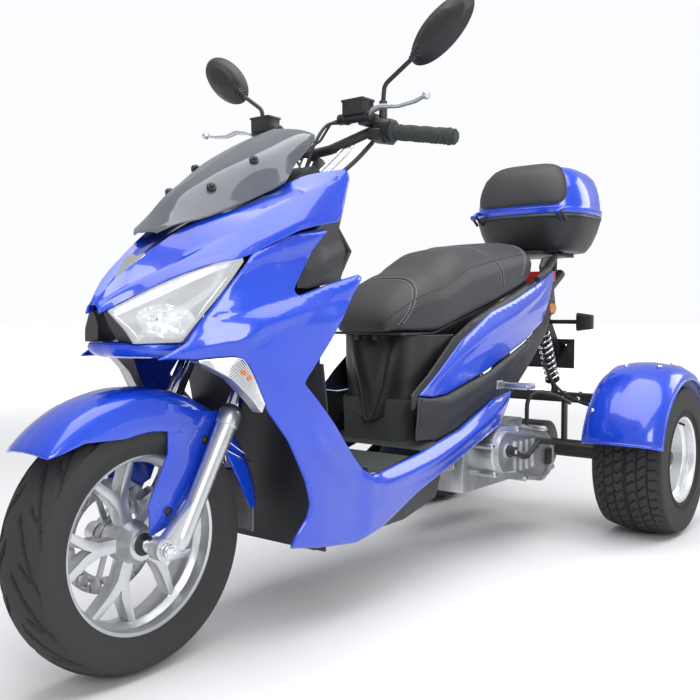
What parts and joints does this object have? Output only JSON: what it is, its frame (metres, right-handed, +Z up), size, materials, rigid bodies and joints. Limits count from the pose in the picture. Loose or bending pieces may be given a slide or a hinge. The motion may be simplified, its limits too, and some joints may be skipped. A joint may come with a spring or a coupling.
{
  "type": "motor trike",
  "caption": "Three-wheeled motor scooter with faired nose and steered front wheel, step-through floor, stepped seat, top case and a wide fendered rear axle.",
  "frame": {"origin": "on the ground under the middle of the machine's overall length and width", "axes": "+X forwards, +Y to the rider's left, +Z up"},
  "size_m": [2.1744, 1.034, 1.3289],
  "materials": {
    "blue_paint": "deep royal blue gloss paint on moulded plastic",
    "black_plastic": "fine-grained matt black moulding",
    "floor_rubber": "matt rubber with raised ribs",
    "smoked_screen": "dark smoked clear plastic",
    "clear_lens": "clear lens",
    "lamp_reflector": "bright reflector in a dark surround",
    "red_lens": "red lamp lens",
    "seat_vinyl": "grained black vinyl with light stitching",
    "tyre_rubber": "black tyre rubber",
    "cast_silver": "silver-painted castings",
    "polished_alloy": "polished wheel rims",
    "engine_casting": "sand-cast aluminium",
    "chromed_steel": "hard chrome",
    "disc_steel": "ground steel",
    "black_steel": "satin black paint on steel"
  },
  "bodies": {
    "chassis": {"belly_cover": "black_plastic", "chin_panel": "blue_paint", "dash_cover": "black_plastic", "engine_block": "engine_casting", "exhaust_muffler": "black_steel", "floorboard": "floor_rubber", "frame": "black_steel", "front_fairing_left": "blue_paint", "front_fairing_right": "blue_paint", "front_indicators": "clear_lens", "headlamp_lenses": "clear_lens", "headlamps": "lamp_reflector", "kick_starter": "black_steel", "leg_shield": "black_plastic", "lower_tail_covers": "black_plastic", "luggage_bucket": "black_plastic", "luggage_rack": "black_steel", "nose_cowl": "blue_paint", "number_plate_bracket": "black_plastic", "peg_hangers": "cast_silver", "rear_axle_carrier": "black_steel", "rear_fenders": "blue_paint", "rear_indicators": "black_plastic", "seat_pod": "black_plastic", "shock_absorbers": "chromed_steel", "side_covers": "black_plastic", "tail_lamp": "red_lens", "tail_panels": "blue_paint", "top_case_base": "black_plastic", "variator_cover": "cast_silver", "wheel_well_liner": "black_plastic", "windscreen": "smoked_screen"},
    "steering": {"fork_sliders": "cast_silver", "fork_stanchions": "chromed_steel", "front_axle": "chromed_steel", "front_fender": "blue_paint", "fender_flap": "floor_rubber", "brake_caliper": "cast_silver", "handlebar": "chromed_steel", "handlebar_grips": "floor_rubber", "switch_housings": "black_plastic", "brake_levers": "cast_silver", "mirrors": "black_plastic", "control_cables": "black_plastic"},
    "front_wheel": {"front_tyre": "tyre_rubber", "front_rim": "cast_silver", "front_brake_disc": "disc_steel"},
    "rear_wheel_left": {"rear_tyre_left": "tyre_rubber", "rear_rim_left": "polished_alloy"},
    "rear_wheel_right": {"rear_tyre_right": "tyre_rubber", "rear_rim_right": "polished_alloy"},
    "seat_lid": {"seat": "seat_vinyl", "seat_base": "black_plastic"},
    "case_lid": {"top_case_lid": "blue_paint", "top_case_pad": "seat_vinyl"},
    "peg_left": {"passenger_peg_left": "cast_silver"},
    "peg_right": {"passenger_peg_right": "cast_silver"}
  },
  "joints": [
    {"name": "steering_turn", "type": "hinge", "parent": "chassis", "child": "steering", "pos_m": [0.57888, 0, 0.6], "axis": [-0.5, 0, 0.866], "range_deg": [-35, 35]},
    {"name": "front_wheel_spin", "type": "hinge", "parent": "steering", "child": "front_wheel", "pos_m": [0.8485, 0, 0.243], "axis": [0, 1, 0], "continuous": true},
    {"name": "rear_wheel_left_spin", "type": "hinge", "parent": "chassis", "child": "rear_wheel_left", "pos_m": [-0.8015, 0.405, 0.229], "axis": [0, 1, 0], "continuous": true},
    {"name": "rear_wheel_right_spin", "type": "hinge", "parent": "chassis", "child": "rear_wheel_right", "pos_m": [-0.8015, -0.405, 0.229], "axis": [0, 1, 0], "continuous": true},
    {"name": "seat_hinge", "type": "hinge", "parent": "chassis", "child": "seat_lid", "pos_m": [0.1105, 0, 0.606], "axis": [0, 1, 0], "range_deg": [0, 60]},
    {"name": "case_lid_hinge", "type": "hinge", "parent": "chassis", "child": "case_lid", "pos_m": [-0.6755, 0, 0.985], "axis": [0, 1, 0], "range_deg": [0, 75]},
    {"name": "peg_left_fold", "type": "hinge", "parent": "chassis", "child": "peg_left", "pos_m": [-0.2865, 0.17119, 0.47], "axis": [1, 0, 0], "range_deg": [0, 80]},
    {"name": "peg_right_fold", "type": "hinge", "parent": "chassis", "child": "peg_right", "pos_m": [-0.2865, -0.17119, 0.47], "axis": [-1, 0, 0], "range_deg": [0, 80]}
  ]
}
